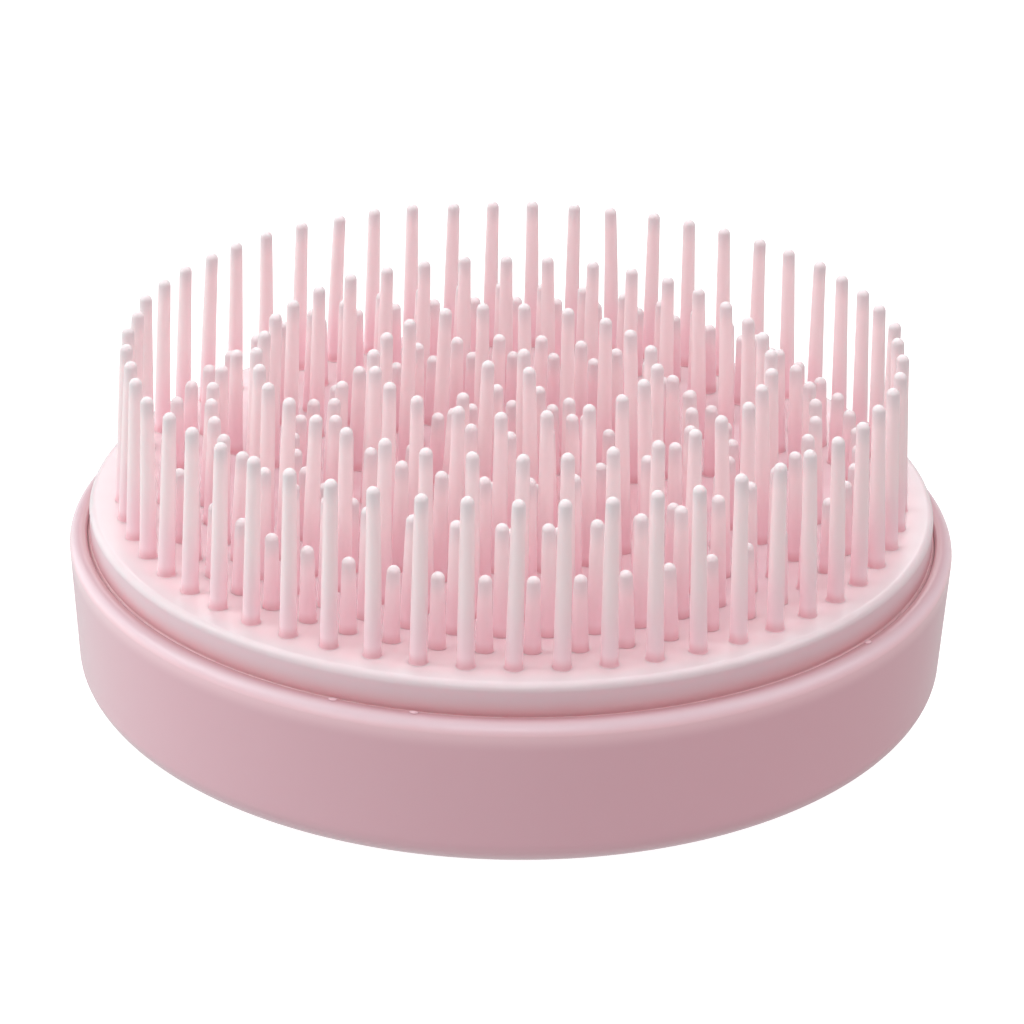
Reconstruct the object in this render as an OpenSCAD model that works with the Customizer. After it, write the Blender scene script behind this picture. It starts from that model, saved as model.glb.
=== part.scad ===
// Round scalp massager brush. A hollow palm shell holds a bristle cartridge, which is a
// soft pad with ten rings of bristles on a rigid carrier, and pulls straight out.
// Z points up through the bristles. The origin is the centre of the flat foot.

/* [Palm shell] */
// Outer radius at the lip
shell_r = 40; // [39.9:0.1:43]
// Outer radius where the wall meets the lower corner
shell_low_r = 39.4; // [39:0.05:39.5]
// Height of the lip above the foot
shell_h = 15.8; // [15.8:0.1:18]
// Radius of the flat foot
foot_r = 30; // [28:0.1:32]
// Height of the rounded lower corner
corner_h = 4.4; // [3.5:0.1:5]
// Thickness of the floor and of the lower wall
wall_t = 2; // [1.6:0.1:2.4]
// Radius of the recess that the pad sits in
recess_r = 38.4; // [38.35:0.05:38.5]
// Width and height of the lip's outer rounding
lip_outer_w = 1.2; // [0.5:0.1:1.3]
lip_outer_h = 1.1; // [0.6:0.1:1.6]
// Rounding of the inner lip edge
lip_inner_round = 0.25; // [0.1:0.05:0.35]
// Height of the ledge that the cartridge rests on
ledge_z = 12.6; // [12:0.1:13]
// Number of ribs between the socket ring and the wall, and on the floor
rib_count = 12; // [8:1:16]

/* [Soft pad] */
// Outer radius of the pad
pad_r = 38.15; // [38:0.05:38.2]
// Height of the pad's rim above the foot
pad_z = 18.6; // [18:0.1:20]
// Rounding of the pad's rim
pad_round = 0.7; // [0.5:0.1:1.4]
// Radius of the land on the pad's skirt that centres it in the recess
seat_r = 38.3; // [38.2:0.05:38.3]
// Height of the top of that land above the foot
seat_z = 15.5; // [14.5:0.1:15.5]
// Depth of the dish at the pad's centre
dish_depth = 2.1; // [1.5:0.1:2.4]
// Number of moulded keys that lock the pad to the carrier
key_count = 8; // [6:1:12]

/* [Bristles] */
// Radii of the bristle rings, outermost first
ring_r = [35, 31.3, 27.5, 23.5, 20, 16.6, 13.1, 9.4, 5.8, 2.8];
// Bristles in each ring
ring_count = [55, 49, 43, 36, 32, 26, 20, 15, 9, 3];
// Direction of one bristle in each ring, in degrees from +X
ring_angle = [94, -86.4, -83, -88, -89.7, -84.5, -76.6, -77, -53.7, -51];
// Length of the long bristles
long_h = 15.1; // [13:0.1:17]
// Length of the medium bristles
medium_h = 10.3; // [9:0.1:12]
// Length of the short bristles
short_h = 6.9; // [5:0.1:8]
// Radius of a bristle at its foot
bristle_foot_r = 0.76; // [0.6:0.02:0.85]
// Radius of a bristle's round tip
bristle_tip_r = 0.58; // [0.4:0.02:0.6]

/* [Carrier] */
// Thickness of the carrier plate
plate_t = 2; // [1.6:0.1:2.2]
// Radius of the carrier plate
plate_r = 35.9; // [35.8:0.05:36]
// Outer radius of the ring that plugs into the shell's socket
spigot_r = 34; // [33.8:0.05:34.1]
// Length of that ring below the plate
spigot_h = 5; // [4:0.1:6]
// Number of crush ribs round the plug ring
crush_count = 12; // [8:1:18]
// Running clearance between the crush ribs and the socket
socket_gap = 0.05; // [0.03:0.01:0.1]

/* [Hidden] */

shell_pink = "#dcb4be";
pad_pink = "#ecc9d0";
bristle_pink = "#ead6d9";
carrier_white = "#e8e2e0";

// Facets round the large turned parts, the small pins and the bristles
turned_fn = 180;
pin_fn = 48;
bristle_fn = 36;

// Steps in degrees along the corner curve and along the small edge roundings
corner_step = 10;
edge_step = 15;

// Every third ring repeats the same length.
ring_h = [long_h, short_h, medium_h];

// Crush ribs on the plug ring, and the socket ring that they run in
crush_r = 0.5;
crush_reach = 0.3;
spigot_t = 1.6;
socket_r = spigot_r + crush_reach + socket_gap;
socket_t = 1.6;

// Ribs and hub inside the shell, and ribs under the carrier plate
rib_t = 1.2;
floor_rib_h = 2.5;
plate_rib_h = 2;
hub_r = 5;
corner_inset = 1;
skin_t = wall_t / 2;

// Moulded keys: a stem through the plate and a head below it
key_r = 1.5;
key_head_r = 2.3;
key_head_t = 1;
key_ring_r = 29;
key_sink = 0.5;
over_cut = 1;

plate_z = ledge_z + plate_t;
skirt_gap = 0.1;
land_r = bristle_foot_r + 0.05;

// Height of the dished pad surface at radius r
function dish_z(r) = pad_z - dish_depth * (1 - pow(r / ring_r[0], 2));

// Points of an elliptic arc about [cx, cz]
function arc(cx, cz, rx, rz, from, to, step) =
    [for (a = [from : step : to]) [cx + rx * cos(a), cz + rz * sin(a)]];

// Copies the children evenly round the Z axis.
module around(count) {
    for (i = [0 : count - 1]) rotate([0, 0, i * 360 / count]) children();
}

// Outline of the shell from the foot up to the lip and back down the inside of the wall
module shell_outline() {
    lip_outer_x = shell_r - lip_outer_w;
    lip_inner_x = recess_r + lip_inner_round;
    inner_foot_r = foot_r - corner_inset;
    inner_wall_r = shell_low_r - wall_t;
    inner_corner_h = corner_h - corner_inset;
    polygon(concat(
        [[0, 0]],
        arc(foot_r, corner_h, shell_low_r - foot_r, corner_h, -90, 0, corner_step),
        arc(lip_outer_x, shell_h - lip_outer_h, lip_outer_w, lip_outer_h, 0, 90, edge_step),
        arc(lip_inner_x, shell_h - lip_inner_round, lip_inner_round, lip_inner_round,
            90, 180, edge_step),
        [[recess_r, ledge_z], [inner_wall_r, ledge_z]],
        [for (a = [0 : corner_step : 90])
            [inner_foot_r + (inner_wall_r - inner_foot_r) * cos(a),
             wall_t + inner_corner_h * (1 - sin(a))]],
        [[0, wall_t]]
    ));
}

// Flat ribs that stand on the shell's inner surface, cut to the inside of its skin
module shell_ribs() {
    intersection() {
        rotate_extrude($fn = turned_fn) polygon(concat(
            [[0, skin_t]],
            arc(foot_r, corner_h + skin_t, shell_low_r - foot_r - skin_t, corner_h,
                -90, 0, corner_step),
            [[shell_low_r - skin_t, ledge_z], [0, ledge_z]]
        ));
        union() {
            around(rib_count) {
                translate([socket_r + socket_t / 2, -rib_t / 2, 0])
                    cube([shell_r - socket_r, rib_t, ledge_z]);
                translate([0, -rib_t / 2, 0])
                    cube([socket_r + socket_t / 2, rib_t, wall_t + floor_rib_h]);
            }
            cylinder(r = hub_r, h = wall_t + floor_rib_h, $fn = turned_fn);
        }
    }
}

// Hollow cup that rests in the palm, with the socket ring that grips the cartridge
module palm_shell() {
    color(shell_pink) {
        rotate_extrude($fn = turned_fn) shell_outline();
        shell_ribs();
        rotate_extrude($fn = turned_fn)
            translate([socket_r, skin_t]) square([socket_t, ledge_z - skin_t]);
    }
}

// Rigid plate under the soft pad, with the plug ring and its crush ribs
module pad_carrier() {
    color(carrier_white) {
        difference() {
            translate([0, 0, ledge_z]) cylinder(r = plate_r, h = plate_t, $fn = turned_fn);
            around(key_count) translate([key_ring_r, 0, ledge_z - over_cut])
                cylinder(r = key_r, h = plate_t + 2 * over_cut, $fn = pin_fn);
        }
        rotate_extrude($fn = turned_fn)
            translate([spigot_r - spigot_t, ledge_z - spigot_h]) square([spigot_t, spigot_h]);
        around(crush_count)
            translate([spigot_r + crush_reach - crush_r, 0, ledge_z - spigot_h])
            cylinder(r = crush_r, h = spigot_h, $fn = pin_fn);
        rotate([0, 0, 180 / key_count]) around(key_count)
            translate([0, -rib_t / 2, ledge_z - plate_rib_h])
            cube([spigot_r - spigot_t / 2, rib_t, plate_rib_h]);
    }
}

// Dished top of the pad, with a narrow level land under each ring of bristles
module pad_outline() {
    skirt_z = ledge_z + skirt_gap;
    polygon(concat(
        [[0, plate_z], [plate_r, plate_z], [plate_r, skirt_z], [seat_r, skirt_z]],
        [[seat_r, seat_z], [pad_r, seat_z]],
        arc(pad_r - pad_round, pad_z - pad_round, pad_round, pad_round, 0, 90, edge_step),
        [for (r = ring_r, side = [1, -1]) [r + side * land_r, dish_z(r)]],
        [[0, dish_z(0)]]
    ));
}

// Soft pad that wraps the carrier's edge and is keyed through its plate
module soft_pad() {
    color(pad_pink) {
        rotate_extrude($fn = turned_fn) pad_outline();
        around(key_count) translate([key_ring_r, 0, ledge_z - key_head_t]) {
            cylinder(r = key_r, h = plate_t + key_head_t + key_sink, $fn = pin_fn);
            cylinder(r = key_head_r, h = key_head_t, $fn = pin_fn);
        }
    }
}

// One tapered bristle with a round tip, standing on the XY plane
module bristle(length) {
    rotate_extrude($fn = bristle_fn) polygon(concat(
        [[0, 0], [bristle_foot_r, 0]],
        arc(0, length - bristle_tip_r, bristle_tip_r, bristle_tip_r, 0, 90, edge_step)
    ));
}

// Ring k of separate bristles, counted from the outermost
module bristle_ring(k) {
    color(bristle_pink)
        rotate([0, 0, ring_angle[k]]) around(ring_count[k])
        translate([ring_r[k], 0, dish_z(ring_r[k])]) bristle(ring_h[k % len(ring_h)]);
}

palm_shell();
pad_carrier();
soft_pad();
bristle_ring(0);  // bristle_ring_01_long
bristle_ring(1);  // bristle_ring_02_short
bristle_ring(2);  // bristle_ring_03_medium
bristle_ring(3);  // bristle_ring_04_long
bristle_ring(4);  // bristle_ring_05_short
bristle_ring(5);  // bristle_ring_06_medium
bristle_ring(6);  // bristle_ring_07_long
bristle_ring(7);  // bristle_ring_08_short
bristle_ring(8);  // bristle_ring_09_medium
bristle_ring(9);  // bristle_ring_10_long
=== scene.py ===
"""Scalp massager brush: the visual model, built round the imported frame.

A hollow palm shell holds a bristle cartridge: a dished soft pad on a rigid carrier,
with ten rings of tapered bristles. Lengths are in metres, Z runs up through the bristles,
and the camera looks from the front, which is -Y.
"""

import math
import random

import bmesh
import bpy
from mathutils import Matrix, Vector


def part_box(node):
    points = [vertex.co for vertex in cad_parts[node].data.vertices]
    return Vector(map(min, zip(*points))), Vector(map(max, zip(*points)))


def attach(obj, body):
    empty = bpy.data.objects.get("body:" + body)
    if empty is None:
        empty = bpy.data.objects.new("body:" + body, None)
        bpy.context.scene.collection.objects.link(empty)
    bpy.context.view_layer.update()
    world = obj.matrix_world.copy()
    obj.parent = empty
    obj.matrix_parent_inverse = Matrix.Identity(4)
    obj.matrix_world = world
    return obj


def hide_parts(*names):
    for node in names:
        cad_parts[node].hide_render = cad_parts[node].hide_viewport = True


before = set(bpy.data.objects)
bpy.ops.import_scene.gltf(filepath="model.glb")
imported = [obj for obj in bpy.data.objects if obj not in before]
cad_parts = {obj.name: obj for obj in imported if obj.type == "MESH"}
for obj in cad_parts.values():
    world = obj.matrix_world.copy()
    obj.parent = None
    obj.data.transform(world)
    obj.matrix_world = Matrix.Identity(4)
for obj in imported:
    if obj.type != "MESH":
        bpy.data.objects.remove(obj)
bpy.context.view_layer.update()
MM = 0.001

# ---- Sizes read from the frame --------------------------------------------------------

SHELL_BODY = "shell_body"
CARTRIDGE_BODY = "bristle_cartridge"
RINGS = sorted(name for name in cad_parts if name.startswith("bristle_ring_"))
SHELL_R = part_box("palm_shell")[1].x
LIP_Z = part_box("palm_shell")[1].z
PAD_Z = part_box("soft_pad")[1].z
KEY_HEAD_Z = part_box("soft_pad")[0].z
PLATE_TOP_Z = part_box("pad_carrier")[1].z

# ---- Shell ----------------------------------------------------------------------------

SHELL_LOW_R = 39.4 * MM
FOOT_R = 30 * MM
CORNER_H = 4.4 * MM
WALL_T = 2 * MM
RECESS_R = 38.4 * MM
LIP_OUTER_W = 1.2 * MM
LIP_OUTER_H = 1.1 * MM
LIP_INNER_ROUND = 0.25 * MM
LEDGE_Z = 12.6 * MM
CORNER_INSET = 1 * MM
SOCKET_R = 34.35 * MM
SOCKET_T = 1.6 * MM
SHELL_RIBS = 12
RIB_T = 1.2 * MM
FLOOR_RIB_H = 2.5 * MM
HUB_R = 5 * MM
PIP_ANGLES = (-112, -101.5, -37.5)
PIP_R = 38.75 * MM
PIP_SIZE = (0.28 * MM, 0.4 * MM, 0.13 * MM)

# ---- Pad ------------------------------------------------------------------------------

PAD_R = 38.15 * MM
PAD_ROUND = 0.7 * MM
SEAT_R = RECESS_R - 0.03 * MM
SEAT_Z = 15.55 * MM
SEAT_SLOPE = 0.1 * MM
DISH_R = 35 * MM
DISH_DEPTH = 2.1 * MM
SKIRT_Z = 12.7 * MM
PLATE_R = 35.9 * MM
KEYS = 8
KEY_R = 1.5 * MM
KEY_HEAD_R = 2.3 * MM
KEY_RING_R = 29 * MM

# ---- Bristles -------------------------------------------------------------------------

BRISTLE_FOOT_R = 0.76 * MM
BRISTLE_TIP_R = 0.58 * MM
FOOT_FILLET = 0.1 * MM
FOOT_SINK = 0.3 * MM
INWARD_LEAN = 0.036
LEAN_SPREAD = 0.007
BEND_SPREAD = 0.006
BRISTLE_SEED = 7

# Vertex attributes: millimetres above the foot and below the tip
RISE = "height_mm"
DROP = "below_tip_mm"

# ---- Mesh tools -----------------------------------------------------------------------

TURNED_SIDES = 256
HUB_SIDES = 96
SMALL_SIDES = 32
BRISTLE_SIDES = 20
ROUND_STEPS = 8
SMOOTH_ANGLE = math.radians(38)
ON_AXIS = 1e-9


def arc(centre_r, centre_z, reach_r, reach_z, start, end, steps=ROUND_STEPS):
    """Points of an elliptic arc in the (r, z) plane, angles in degrees."""
    angles = [math.radians(start + (end - start) * i / steps) for i in range(steps + 1)]
    return [(centre_r + reach_r * math.cos(a), centre_z + reach_z * math.sin(a)) for a in angles]


def new_object(name, bm):
    """Wraps a bmesh in an object with smooth shading, sharp where it bends hard."""
    bmesh.ops.recalc_face_normals(bm, faces=bm.faces)
    mesh = bpy.data.meshes.new(name)
    bm.to_mesh(mesh)
    bm.free()
    mesh.shade_smooth()
    mesh.set_sharp_from_angle(angle=SMOOTH_ANGLE)
    obj = bpy.data.objects.new(name, mesh)
    bpy.context.scene.collection.objects.link(obj)
    return obj


def add_lathe(bm, outline, sides=TURNED_SIDES, at=(0, 0), closed=False):
    """Turns an (r, z) outline about a vertical axis. Points at r = 0 become poles."""
    rings = []
    for r, z in outline:
        if r < ON_AXIS:
            rings.append([bm.verts.new((at[0], at[1], z))])
        else:
            rings.append([
                bm.verts.new((at[0] + r * math.cos(a), at[1] + r * math.sin(a), z))
                for a in (2 * math.pi * i / sides for i in range(sides))
            ])
    pairs = list(zip(rings, rings[1:]))
    if closed:
        pairs.append((rings[-1], rings[0]))
    for low, high in pairs:
        for i in range(sides):
            j = (i + 1) % sides
            corners = [low[i % len(low)], low[j % len(low)],
                       high[j % len(high)], high[i % len(high)]]
            unique = list(dict.fromkeys(corners))
            if len(unique) > 2:
                bm.faces.new(unique)


def lathe(name, outline, **options):
    bm = bmesh.new()
    add_lathe(bm, outline, **options)
    return new_object(name, bm)


def bar(name, length, width, height, angle, start, low_z, edge=0.2 * MM):
    """Radial bar with rounded edges, from radius start outwards, standing on low_z."""
    bm = bmesh.new()
    bmesh.ops.create_cube(bm, size=1)
    bmesh.ops.scale(bm, vec=(length, width, height), verts=bm.verts)
    bmesh.ops.bevel(bm, geom=bm.edges[:], offset=edge, segments=3, profile=0.5, affect="EDGES")
    bmesh.ops.translate(bm, vec=(start + length / 2, 0, low_z + height / 2), verts=bm.verts)
    bmesh.ops.rotate(bm, cent=(0, 0, 0), matrix=Matrix.Rotation(angle, 3, "Z"), verts=bm.verts)
    return new_object(name, bm)


def union(base, parts):
    """Joins closed solids into base as one closed solid and removes them."""
    for part in parts:
        cut = base.modifiers.new("union", "BOOLEAN")
        cut.operation = "UNION"
        cut.solver = "MANIFOLD"
        cut.object = part
    bpy.context.view_layer.update()
    evaluated = base.evaluated_get(bpy.context.evaluated_depsgraph_get())
    mesh = bpy.data.meshes.new_from_object(evaluated)
    base.modifiers.clear()
    base.data = mesh
    for part in parts:
        bpy.data.objects.remove(part)
    mesh.shade_smooth()
    mesh.set_sharp_from_angle(angle=SMOOTH_ANGLE)
    return base


def even_normals(obj):
    """Lets large faces set the shading, so that flats beside small roundings look flat."""
    weighted = obj.modifiers.new("weighted", "WEIGHTED_NORMAL")
    weighted.mode = "FACE_AREA_WITH_ANGLE"
    weighted.weight = 80
    weighted.keep_sharp = True


# ---- Shell ----------------------------------------------------------------------------


def shell_outline():
    """Section of the cup from the middle of the foot, up and over the lip, to the floor."""
    inner_wall_r = SHELL_LOW_R - WALL_T
    inner_foot_r = FOOT_R - CORNER_INSET
    inner_corner_h = CORNER_H - CORNER_INSET
    lip_outer = SHELL_R - LIP_OUTER_W
    lip_inner = RECESS_R + LIP_INNER_ROUND
    corner = arc(FOOT_R, CORNER_H, SHELL_LOW_R - FOOT_R, CORNER_H, -90, 0, 28)
    outer_lip = arc(lip_outer, LIP_Z - LIP_OUTER_H, LIP_OUTER_W, LIP_OUTER_H, 0, 90, 14)
    inner_lip = arc(lip_inner, LIP_Z - LIP_INNER_ROUND, LIP_INNER_ROUND, LIP_INNER_ROUND, 90, 180)
    floor = arc(inner_foot_r, WALL_T + inner_corner_h, inner_wall_r - inner_foot_r,
                inner_corner_h, 0, -90, 16)
    return ([(0, 0)] + corner + outer_lip + inner_lip + [(RECESS_R, LEDGE_Z)]
            + [(inner_wall_r, LEDGE_Z)] + floor + [(0, WALL_T)])


def make_pip(angle):
    """Tiny moulding pip on the inner edge of the lip."""
    bm = bmesh.new()
    bmesh.ops.create_uvsphere(bm, u_segments=16, v_segments=10, radius=1)
    bmesh.ops.scale(bm, vec=PIP_SIZE, verts=bm.verts)
    bmesh.ops.translate(bm, vec=(PIP_R, 0, LIP_Z), verts=bm.verts)
    turn = Matrix.Rotation(math.radians(angle), 3, "Z")
    bmesh.ops.rotate(bm, cent=(0, 0, 0), matrix=turn, verts=bm.verts)
    return new_object("pip", bm)


def make_shell():
    shell = lathe("palm_shell_moulding", shell_outline())
    sunk = WALL_T / 2
    edge = 0.25 * MM
    socket = lathe("socket", [(SOCKET_R, sunk), (SOCKET_R + SOCKET_T, sunk)]
                   + arc(SOCKET_R + SOCKET_T - edge, LEDGE_Z - edge, edge, edge, 0, 90, 4)
                   + arc(SOCKET_R + edge, LEDGE_Z - edge, edge, edge, 90, 180, 4), closed=True)
    hub = lathe("hub", [(0, sunk), (HUB_R, sunk)]
                + arc(HUB_R - edge, WALL_T + FLOOR_RIB_H - edge, edge, edge, 0, 90, 4)
                + [(0, WALL_T + FLOOR_RIB_H)], sides=HUB_SIDES)
    parts = [socket, hub] + [make_pip(angle) for angle in PIP_ANGLES]
    for i in range(SHELL_RIBS):
        angle = 2 * math.pi * i / SHELL_RIBS
        reach = SHELL_LOW_R - WALL_T / 2 - SOCKET_R - SOCKET_T / 2
        parts.append(bar(f"wall_rib_{i}", reach, RIB_T, LEDGE_Z - CORNER_H, angle,
                         SOCKET_R + SOCKET_T / 2, CORNER_H))
        parts.append(bar(f"floor_rib_{i}", SOCKET_R + SOCKET_T / 2 - HUB_R / 2, RIB_T,
                         WALL_T + FLOOR_RIB_H - sunk, angle, HUB_R / 2, sunk))
    union(shell, parts)
    even_normals(shell)
    return shell


# ---- Pad ------------------------------------------------------------------------------


def dish_z(r):
    """Height of the dished pad surface at radius r."""
    return PAD_Z - DISH_DEPTH * (1 - (min(r, DISH_R) / DISH_R) ** 2)


def make_pad():
    skirt_edge = 0.3 * MM
    steps = 24
    dish = [(r, dish_z(r)) for r in (DISH_R * (1 - i / steps) for i in range(steps + 1))]
    outline = ([(0, PLATE_TOP_Z), (PLATE_R, PLATE_TOP_Z), (PLATE_R, SKIRT_Z)]
               + arc(SEAT_R - skirt_edge, SKIRT_Z + skirt_edge, skirt_edge, skirt_edge, -90, 0, 4)
               + [(SEAT_R, SEAT_Z - SEAT_SLOPE), (PAD_R, SEAT_Z + SEAT_SLOPE)]
               + arc(PAD_R - PAD_ROUND, PAD_Z - PAD_ROUND, PAD_ROUND, PAD_ROUND, 0, 90, 12)
               + dish)
    pad = lathe("soft_pad_moulding", outline)
    keys = []
    head_round = 0.4 * MM
    sink = 0.5 * MM
    for i in range(KEYS):
        angle = 2 * math.pi * i / KEYS
        spot = (KEY_RING_R * math.cos(angle), KEY_RING_R * math.sin(angle))
        outline = ([(0, KEY_HEAD_Z)]
                   + arc(KEY_HEAD_R - head_round, KEY_HEAD_Z + head_round, head_round,
                         head_round, -90, 0, 5)
                   + [(KEY_HEAD_R, LEDGE_Z), (KEY_R, LEDGE_Z), (KEY_R, PLATE_TOP_Z + sink),
                      (0, PLATE_TOP_Z + sink)])
        keys.append(lathe(f"key_{i}", outline, sides=SMALL_SIDES, at=spot))
    union(pad, keys)
    even_normals(pad)
    return pad


# ---- Bristles -------------------------------------------------------------------------


def bristle_feet(node):
    """(x, y) of each bristle's foot in a CAD ring, read from the circles it stands on."""
    low_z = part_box(node)[0].z
    flat = 0.01 * MM
    gap = 1 * MM
    points = [v.co.xy.copy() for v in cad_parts[node].data.vertices
              if v.co.z < low_z + flat]
    points.sort(key=lambda point: math.atan2(point.y, point.x))
    ring_r = sum(point.length for point in points) / len(points)

    def apart(one, other):
        return one.angle(other) * ring_r > gap

    groups = [[points[0]]]
    for before, point in zip(points, points[1:]):
        if apart(before, point):
            groups.append([])
        groups[-1].append(point)
    if not apart(points[-1], points[0]):
        groups[0] += groups.pop()
    feet = []
    for group in groups:
        low = Vector((min(p.x for p in group), min(p.y for p in group)))
        high = Vector((max(p.x for p in group), max(p.y for p in group)))
        feet.append((low + high) / 2)
    return feet


def bristle_outline(length):
    """Section of a bristle from its sunk foot, through a small fillet, to its round tip."""
    shoulder = length - BRISTLE_TIP_R
    fillet = [(BRISTLE_FOOT_R + FOOT_FILLET * (1 - math.sin(a)), FOOT_FILLET * (1 - math.cos(a)))
              for a in (math.radians(90) * i / 5 for i in range(6))]
    shaft_steps = 8
    shaft = []
    for i in range(1, shaft_steps):
        t = i / shaft_steps
        shaft.append((BRISTLE_FOOT_R + (BRISTLE_TIP_R - BRISTLE_FOOT_R) * t,
                      FOOT_FILLET + (shoulder - FOOT_FILLET) * t))
    tip = arc(0, shoulder, BRISTLE_TIP_R, BRISTLE_TIP_R, 0, 90, 8)
    return [(0, -FOOT_SINK), (fillet[0][0], -FOOT_SINK)] + fillet + shaft + tip


def add_bristle(bm, foot, base_z, length, draw):
    """One bristle with its small lean and bend, which leave its height alone."""
    inward = -foot.normalized()
    lean = inward * INWARD_LEAN + Vector((draw.gauss(0, LEAN_SPREAD), draw.gauss(0, LEAN_SPREAD)))
    bend = Vector((draw.gauss(0, BEND_SPREAD), draw.gauss(0, BEND_SPREAD)))
    start = len(bm.verts)
    rise = bm.verts.layers.float[RISE]
    drop = bm.verts.layers.float[DROP]
    add_lathe(bm, bristle_outline(length), sides=BRISTLE_SIDES, at=foot)
    bm.verts.ensure_lookup_table()
    for vert in bm.verts[start:]:
        height = max(vert.co.z, 0)
        vert[rise] = height / MM
        vert[drop] = (length - height) / MM
        shift = lean * height + bend * (height * height / length)
        vert.co.x += shift.x
        vert.co.y += shift.y
        vert.co.z += base_z


def make_ring(node, draw):
    low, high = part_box(node)
    bm = bmesh.new()
    bm.verts.layers.float.new(RISE)
    bm.verts.layers.float.new(DROP)
    for foot in bristle_feet(node):
        add_bristle(bm, foot, low.z, high.z - low.z, draw)
    return new_object(node + "_bristles", bm)


# ---- Materials ------------------------------------------------------------------------

# Base colours, linear
SHELL_COLOUR = (0.74, 0.43, 0.49)
# Painted highlight: the paler shoulder and top of the lip
SHOULDER_HIGHLIGHT_COLOUR = (0.86, 0.56, 0.61)
LIP_HIGHLIGHT_COLOUR = (0.74, 0.58, 0.64)
PIP_COLOUR = (0.66, 0.41, 0.46)
# Painted shade: darker, redder lip top beside the groove
LIP_INNER_SHADE_COLOUR = (0.47, 0.24, 0.27)
# Painted shade: the pad turns redder low in the groove and the dish
GROOVE_SHADE_COLOUR = (0.80, 0.44, 0.475)
PAD_COLOUR = (0.76, 0.58, 0.61)
# Painted highlight: greyer, washed-out tone on the pad's rim
PAD_RIM_HIGHLIGHT_COLOUR = (0.68, 0.575, 0.60)
PAD_WALL_COLOUR = (0.76, 0.56, 0.605)
CARRIER_COLOUR = (0.78, 0.70, 0.70)
BRISTLE_COLOUR = (0.93, 0.76, 0.775)
# Painted shade: darker, greyer bristle tip
BRISTLE_TIP_SHADE_COLOUR = (0.74, 0.65, 0.67)
# Painted shade: pinker low shaft and foot of each bristle
BRISTLE_LOW_SHADE_COLOUR = (0.91, 0.655, 0.705)
BRISTLE_FOOT_SHADE_COLOUR = (0.82, 0.48, 0.53)

# Finishes: roughness, scatter weight and scatter depth
SHELL_FINISH = (0.24, 0.3, 0.7 * MM)
PAD_FINISH = (0.22, 1, 0.6 * MM)
BRISTLE_FINISH = (0.36, 0.5, 0.5 * MM)
CARRIER_FINISH = (0.45, 0.1, 0.5 * MM)
PAD_EDGE_SCATTER = 1.2 * MM
SCATTER_RADIUS = (1.0, 0.75, 0.8)
PLASTIC_IOR = 1.47
SHELL_SHEEN = 0.18
SHEEN_ROUGHNESS = 0.5

# Noise per metre for the cloudy colour, the uneven gloss and the grain
CLOUD_SCALE = 35
GLOSS_SCALE = 90
GRAIN_SCALE = 900
NOISE_RAMP = (0.2, 0.8)
CLOUD_SHADE = 0.97
GLOSS_SPREAD = 0.025
GRAIN_STRENGTH = 0.05
GRAIN_DEPTH = 0.02 * MM

# Where one colour turns into the next, by radius on the lip and the pad
# Painted shade at the lip's inner edge turns into painted highlight at its outer edge
LIP_ACROSS = (RECESS_R + 0.4 * MM, SHELL_R)
# Painted highlight: the rim's greyer tone fades in across this span
RIM_ACROSS = (DISH_R + 0.7 * MM, PAD_R - PAD_ROUND)
EDGE_ACROSS = (PAD_R - 2 * MM, PAD_R - 0.5 * MM)

# The same by height above the foot
# Painted highlight and shade on the lip's shoulder and top fade in over these heights
SHOULDER_RISE = (LIP_Z - 2.6 * MM, LIP_Z - 1 * MM)
LIP_RISE = (LIP_Z - 1 * MM, LIP_Z - 0.2 * MM)
PIP_RISE = (LIP_Z + 0.01 * MM, LIP_Z + 0.08 * MM)
PAD_WALL_RISE = (PAD_Z - 1 * MM, PAD_Z - 0.3 * MM)
# Painted shade: the pad turns redder below the first span; the second keeps it off the hidden land
GROOVE_RISE = (LIP_Z - 0.2 * MM, LIP_Z + 1.6 * MM)
LAND_RISE = (SEAT_Z - 1.2 * MM, SEAT_Z - 0.3 * MM)

# The same along a bristle, in millimetres above its foot or below its tip
# Spans over which the painted shade of the low shaft, the foot and the tip fades out
SHAFT_RISE = (1, 8)
FOOT_RISE = (0.1, 1.1)
TIP_DROP = (0.2, 2.6)


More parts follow.
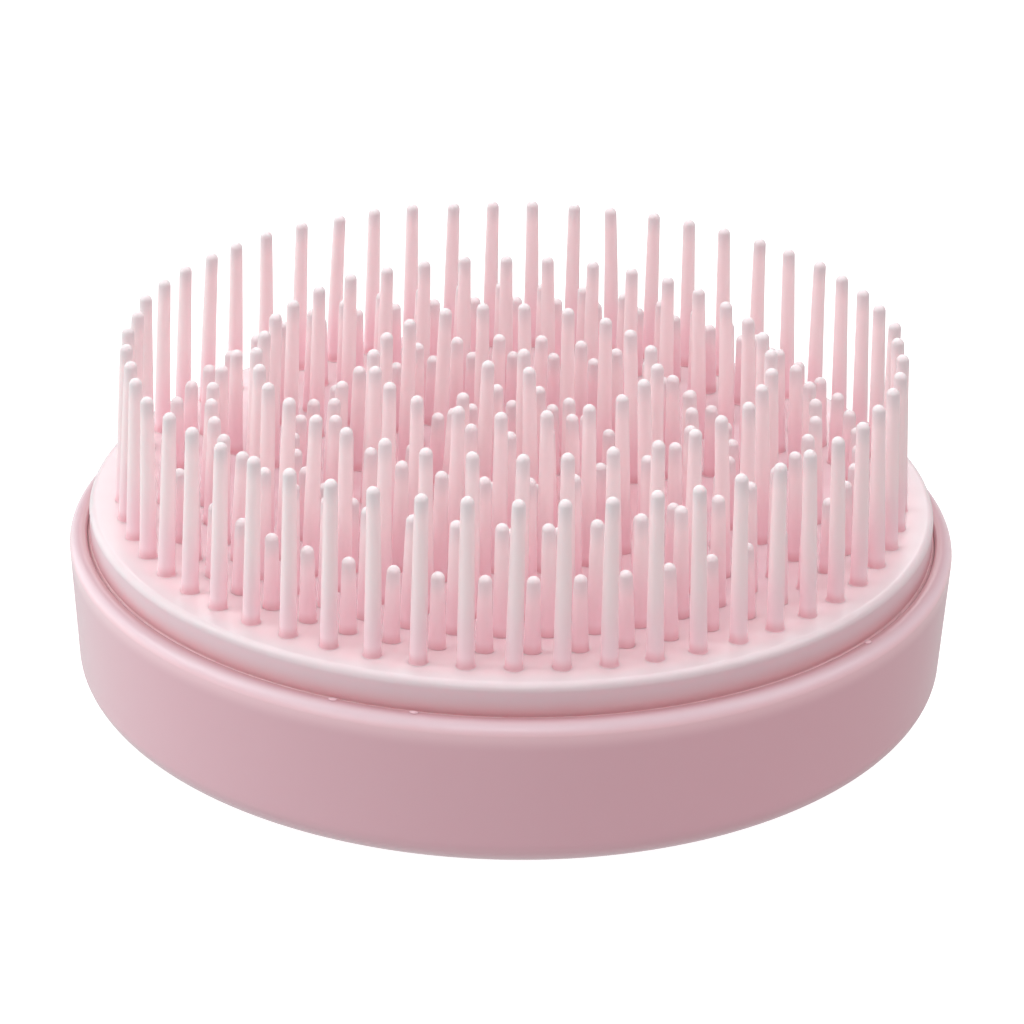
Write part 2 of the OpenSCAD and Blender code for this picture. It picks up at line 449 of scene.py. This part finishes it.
class Nodes:
    """Short way to wire a node tree. Each value may be a number, a colour or a socket."""

    def __init__(self, tree, place):
        self.tree = tree
        self.place = self.add("ShaderNodeTexCoord").outputs[place]

    def add(self, kind, **values):
        node = self.tree.nodes.new(kind)
        for key, value in values.items():
            setattr(node, key, value)
        return node

    def put(self, socket, value):
        if isinstance(value, bpy.types.NodeSocket):
            self.tree.links.new(value, socket)
        elif isinstance(value, tuple):
            socket.default_value = (*value, 1)
        else:
            socket.default_value = value

    def noise(self, scale):
        node = self.add("ShaderNodeTexNoise")
        self.put(node.inputs["Scale"], scale)
        self.put(node.inputs["Vector"], self.place)
        return node.outputs["Fac"]

    def spread(self, value, low, high, to_low, to_high, ramp="SMOOTHSTEP"):
        """Maps low..high to to_low..to_high and holds the ends beyond them."""
        node = self.add("ShaderNodeMapRange", interpolation_type=ramp)
        for name, given in (("Value", value), ("From Min", low), ("From Max", high),
                            ("To Min", to_low), ("To Max", to_high)):
            self.put(node.inputs[name], given)
        return node.outputs["Result"]

    def mix(self, factor, one, other):
        node = self.add("ShaderNodeMix", data_type="RGBA")
        for name, given in (("Factor", factor), ("A", one), ("B", other)):
            self.put(node.inputs[name], given)
        return node.outputs["Result"]

    def times(self, one, other):
        node = self.add("ShaderNodeMath", operation="MULTIPLY")
        self.put(node.inputs[0], one)
        self.put(node.inputs[1], other)
        return node.outputs["Value"]

    def along(self, axis):
        node = self.add("ShaderNodeSeparateXYZ")
        self.put(node.inputs["Vector"], self.place)
        return node.outputs[axis]

    def radius_of(self):
        flat = self.add("ShaderNodeVectorMath", operation="MULTIPLY")
        flat.inputs[1].default_value = (1, 1, 0)
        self.put(flat.inputs[0], self.place)
        length = self.add("ShaderNodeVectorMath", operation="LENGTH")
        self.put(length.inputs[0], flat.outputs["Vector"])
        return length.outputs["Value"]

    def attribute(self, name):
        return self.add("ShaderNodeAttribute", attribute_name=name).outputs["Fac"]


class Surface(Nodes):
    """A material's node tree, with its Principled shader."""

    def __init__(self, name):
        self.material = bpy.data.materials.new(name)
        self.material.use_nodes = True
        super().__init__(self.material.node_tree, "Object")
        self.shader = self.tree.nodes["Principled BSDF"]

    def set(self, **values):
        for name, value in values.items():
            self.put(self.shader.inputs[name.replace("_", " ")], value)

    def bump(self, height, strength, distance):
        node = self.add("ShaderNodeBump")
        for name, given in (("Height", height), ("Strength", strength), ("Distance", distance)):
            self.put(node.inputs[name], given)
        self.set(Normal=node.outputs["Normal"])


def soft_plastic(name, colour, finish):
    """Satin moulded plastic or elastomer: slightly uneven colour and gloss, a fine grain."""
    roughness, scatter, depth = finish
    surface = Surface(name)
    shade = tuple(CLOUD_SHADE * channel for channel in colour)
    cloud = surface.spread(surface.noise(CLOUD_SCALE), *NOISE_RAMP, 0, 1)
    surface.colour = surface.mix(cloud, colour, shade)
    gloss = surface.spread(surface.noise(GLOSS_SCALE), *NOISE_RAMP,
                           roughness - GLOSS_SPREAD, roughness + GLOSS_SPREAD)
    surface.bump(surface.noise(GRAIN_SCALE), GRAIN_STRENGTH, GRAIN_DEPTH)
    surface.set(Base_Color=surface.colour, Roughness=gloss, IOR=PLASTIC_IOR,
                Subsurface_Weight=scatter, Subsurface_Scale=depth)
    surface.shader.inputs["Subsurface Radius"].default_value = SCATTER_RADIUS
    return surface


def shell_plastic():
    """Satin rose plastic, faint sheen; painted highlight on the lip, painted red shade by the
    groove.
    """
    surface = soft_plastic("shell_plastic", SHELL_COLOUR, SHELL_FINISH)
    height = surface.along("Z")
    # Painted shade beside the groove, turning into painted highlight towards the lip's outer edge
    across = surface.spread(surface.radius_of(), *LIP_ACROSS, 0, 1, "LINEAR")
    lip = surface.mix(across, LIP_INNER_SHADE_COLOUR, LIP_HIGHLIGHT_COLOUR)
    # Painted highlight: the lip's shoulder and top turn paler
    shoulder = surface.mix(surface.spread(height, *SHOULDER_RISE, 0, 1),
                           surface.colour, SHOULDER_HIGHLIGHT_COLOUR)
    top = surface.mix(surface.spread(height, *LIP_RISE, 0, 1), shoulder, lip)
    pips = surface.mix(surface.spread(height, *PIP_RISE, 0, 1), top, PIP_COLOUR)
    surface.set(Base_Color=pips, Sheen_Weight=SHELL_SHEEN, Sheen_Roughness=SHEEN_ROUGHNESS)
    return surface


def pad_elastomer():
    """Soft rose elastomer; painted grey highlight on the rim, painted red shade low in dish and
    groove.
    """
    surface = soft_plastic("pad_elastomer", PAD_COLOUR, PAD_FINISH)
    height = surface.along("Z")
    radius = surface.radius_of()
    # Painted highlight: greyer tone on the rim
    top = surface.mix(surface.spread(radius, *RIM_ACROSS, 0, 1), surface.colour, PAD_RIM_HIGHLIGHT_COLOUR)
    side = surface.mix(surface.spread(height, *PAD_WALL_RISE, 1, 0), top, PAD_WALL_COLOUR)
    # Painted shade: redder where the pad lies low, in the groove and the dish
    deep = surface.spread(height, *GROOVE_RISE, 1, 0)
    shown = surface.spread(height, *LAND_RISE, 0, 1)
    groove = surface.mix(surface.times(deep, shown), side, GROOVE_SHADE_COLOUR)
    depth = surface.spread(radius, *EDGE_ACROSS, PAD_FINISH[2], PAD_EDGE_SCATTER)
    surface.set(Base_Color=groove, Subsurface_Scale=depth)
    return surface


def bristle_elastomer():
    """The pad's elastomer, drawn thin; painted shade makes each bristle rosy low down, greyer at
    its tip.
    """
    surface = soft_plastic("bristle_elastomer", BRISTLE_COLOUR, BRISTLE_FINISH)
    height = surface.attribute(RISE)
    # Painted shade: pinker low on the shaft
    shaft = surface.mix(surface.spread(height, *SHAFT_RISE, 0, 1),
                        BRISTLE_LOW_SHADE_COLOUR, surface.colour)
    # Painted shade: darker, greyer tip
    tip_shade = surface.mix(surface.spread(surface.attribute(DROP), *TIP_DROP, 0, 1),
                       BRISTLE_TIP_SHADE_COLOUR, shaft)
    # Painted shade: pinker at the foot
    foot = surface.mix(surface.spread(height, *FOOT_RISE, 0, 1), BRISTLE_FOOT_SHADE_COLOUR, tip_shade)
    surface.set(Base_Color=foot)
    return surface


def make_materials():
    return {
        "shell": shell_plastic().material,
        "pad": pad_elastomer().material,
        "bristles": bristle_elastomer().material,
        "carrier": soft_plastic("carrier_plastic", CARRIER_COLOUR, CARRIER_FINISH).material,
    }


# ---- Stage, light and camera ----------------------------------------------------------

CAMERA_SIDE = 0.05 * MM
CAMERA_BACK = 328.7 * MM
CAMERA_Z = 169.7 * MM
CAMERA_PITCH = math.radians(24.99)
CAMERA_ROLL = 0.0186
CAMERA_LENS = 140.2
SENSOR_WIDTH = 36
CLIP_START = 0.01
CLIP_END = 10

# Soft lights: name, place, size in metres and power in watts
LIGHTS = [
    ("top", (0, 0, 0.8), (0.8, 0.8), 2.8),
    ("top_left", (-0.55, 0, 0.55), (0.5, 0.5), 2.1),
    ("top_right", (0.55, 0, 0.55), (0.5, 0.5), 1.5),
    ("top_back", (0, 0.6, 0.55), (0.6, 0.5), 2.2),
    ("top_front", (0, -0.6, 0.6), (0.4, 0.15), 1.0),
    ("left", (-0.75, 0.35, 0.2), (0.9, 0.6), 2.0),
    ("front_left", (-0.55, -0.6, 0.3), (0.4, 0.4), 0.55),
]
LIGHT_AIM = (0, 0, 0.012)

# Tints: lamps on the left, sky on the left and right, table bounce on the right
WHITE = (1, 1, 1)
SIDE_WHITE = (0.96, 1.02, 1.01)
COOL_WHITE = (0.94, 1.04, 1.03)
WARM_WHITE = (1.01, 0.985, 0.985)
BOUNCE_ROSE = (1.0, 0.84, 0.85)

# Strength of the sky, and of the bounce at the far left and right
SKY = 0.4
BOUNCE_LEFT = 0.8
BOUNCE_RIGHT = 0.5
HORIZON = (-0.05, 0.05)

FLOOR_WHITE = (0.35, 0.35, 0.35)
FLOOR_GLOW = 0.9
FLOOR_ROUGHNESS = 0.9
FLOOR_REACH = 3
FLOOR_DROP = 0.02 * MM


def make_camera():
    data = bpy.data.cameras.new("camera")
    data.lens = CAMERA_LENS
    data.sensor_width = SENSOR_WIDTH
    data.clip_start = CLIP_START
    data.clip_end = CLIP_END
    camera = bpy.data.objects.new("camera", data)
    bpy.context.scene.collection.objects.link(camera)
    look = Vector((0, math.cos(CAMERA_PITCH), -math.sin(CAMERA_PITCH)))
    level = Vector((1, 0, 0))
    upward = level.cross(look)
    right = level * math.cos(CAMERA_ROLL) + upward * math.sin(CAMERA_ROLL)
    up = upward * math.cos(CAMERA_ROLL) - level * math.sin(CAMERA_ROLL)
    turn = Matrix((right, up, -look)).transposed().to_4x4()
    camera.matrix_world = Matrix.Translation((CAMERA_SIDE, -CAMERA_BACK, CAMERA_Z)) @ turn
    bpy.context.scene.camera = camera


def soft_light(name, place, size, power):
    data = bpy.data.lights.new(name, "AREA")
    data.shape = "RECTANGLE"
    data.size, data.size_y = size
    data.energy = power
    data.color = SIDE_WHITE if place[0] < 0 else WHITE
    lamp = bpy.data.objects.new(name, data)
    bpy.context.scene.collection.objects.link(lamp)
    lamp.location = place
    lamp.rotation_mode = "QUATERNION"
    lamp.rotation_quaternion = (Vector(LIGHT_AIM) - Vector(place)).to_track_quat("-Z", "Y")
    lamp.visible_camera = False


def make_world():
    """Even light: the sky's from above, and the table's from below, rosier on the right."""
    world = bpy.data.worlds.new("studio")
    world.use_nodes = True
    nodes = Nodes(world.node_tree, "Generated")
    across = nodes.along("X")
    height = nodes.along("Z")
    sky = nodes.mix(nodes.spread(across, -1, 1, 0, 1, "LINEAR"), COOL_WHITE, WARM_WHITE)
    right = nodes.spread(across, 0, 1, 0, 1, "LINEAR")
    below = nodes.spread(height, *HORIZON, 1, 0, "LINEAR")
    bounce = nodes.spread(across, -1, 1, BOUNCE_LEFT, BOUNCE_RIGHT, "LINEAR")
    background = nodes.tree.nodes["Background"].inputs
    nodes.put(background["Color"], nodes.mix(nodes.times(right, below), sky, BOUNCE_ROSE))
    nodes.put(background["Strength"], nodes.spread(height, *HORIZON, bounce, SKY, "LINEAR"))
    bpy.context.scene.world = world


def make_floor():
    """Pale table that only the camera sees. The world's lower half stands in for its bounce."""
    bm = bmesh.new()
    bmesh.ops.create_grid(bm, x_segments=1, y_segments=1, size=FLOOR_REACH)
    bmesh.ops.translate(bm, vec=(0, 0, -FLOOR_DROP), verts=bm.verts)
    floor = new_object("floor", bm)
    surface = Surface("floor_white")
    surface.set(Base_Color=FLOOR_WHITE, Roughness=FLOOR_ROUGHNESS,
                Emission_Color=WHITE, Emission_Strength=FLOOR_GLOW)
    floor.data.materials.append(surface.material)
    floor.visible_diffuse = False
    floor.visible_glossy = False
    floor.visible_shadow = False


# ---- The object -----------------------------------------------------------------------


def finish_piece(piece, body, slot, material, *replaced):
    piece.data.materials.clear()
    piece.data.materials.append(material)
    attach(piece, body)
    if replaced:
        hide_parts(*replaced)


def main():
    bpy.context.scene.view_settings.view_transform = "Standard"
    materials = make_materials()
    finish_piece(make_shell(), SHELL_BODY, "shell", materials["shell"], "palm_shell")
    finish_piece(make_pad(), CARTRIDGE_BODY, "pad", materials["pad"], "soft_pad")
    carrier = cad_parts["pad_carrier"]
    carrier.data.materials.clear()
    carrier.data.materials.append(materials["carrier"])
    draw = random.Random(BRISTLE_SEED)
    for node in RINGS:
        ring = make_ring(node, draw)
        finish_piece(ring, CARTRIDGE_BODY, "bristles", materials["bristles"], node)
    make_floor()
    make_world()
    for light in LIGHTS:
        soft_light(*light)
    make_camera()


main()
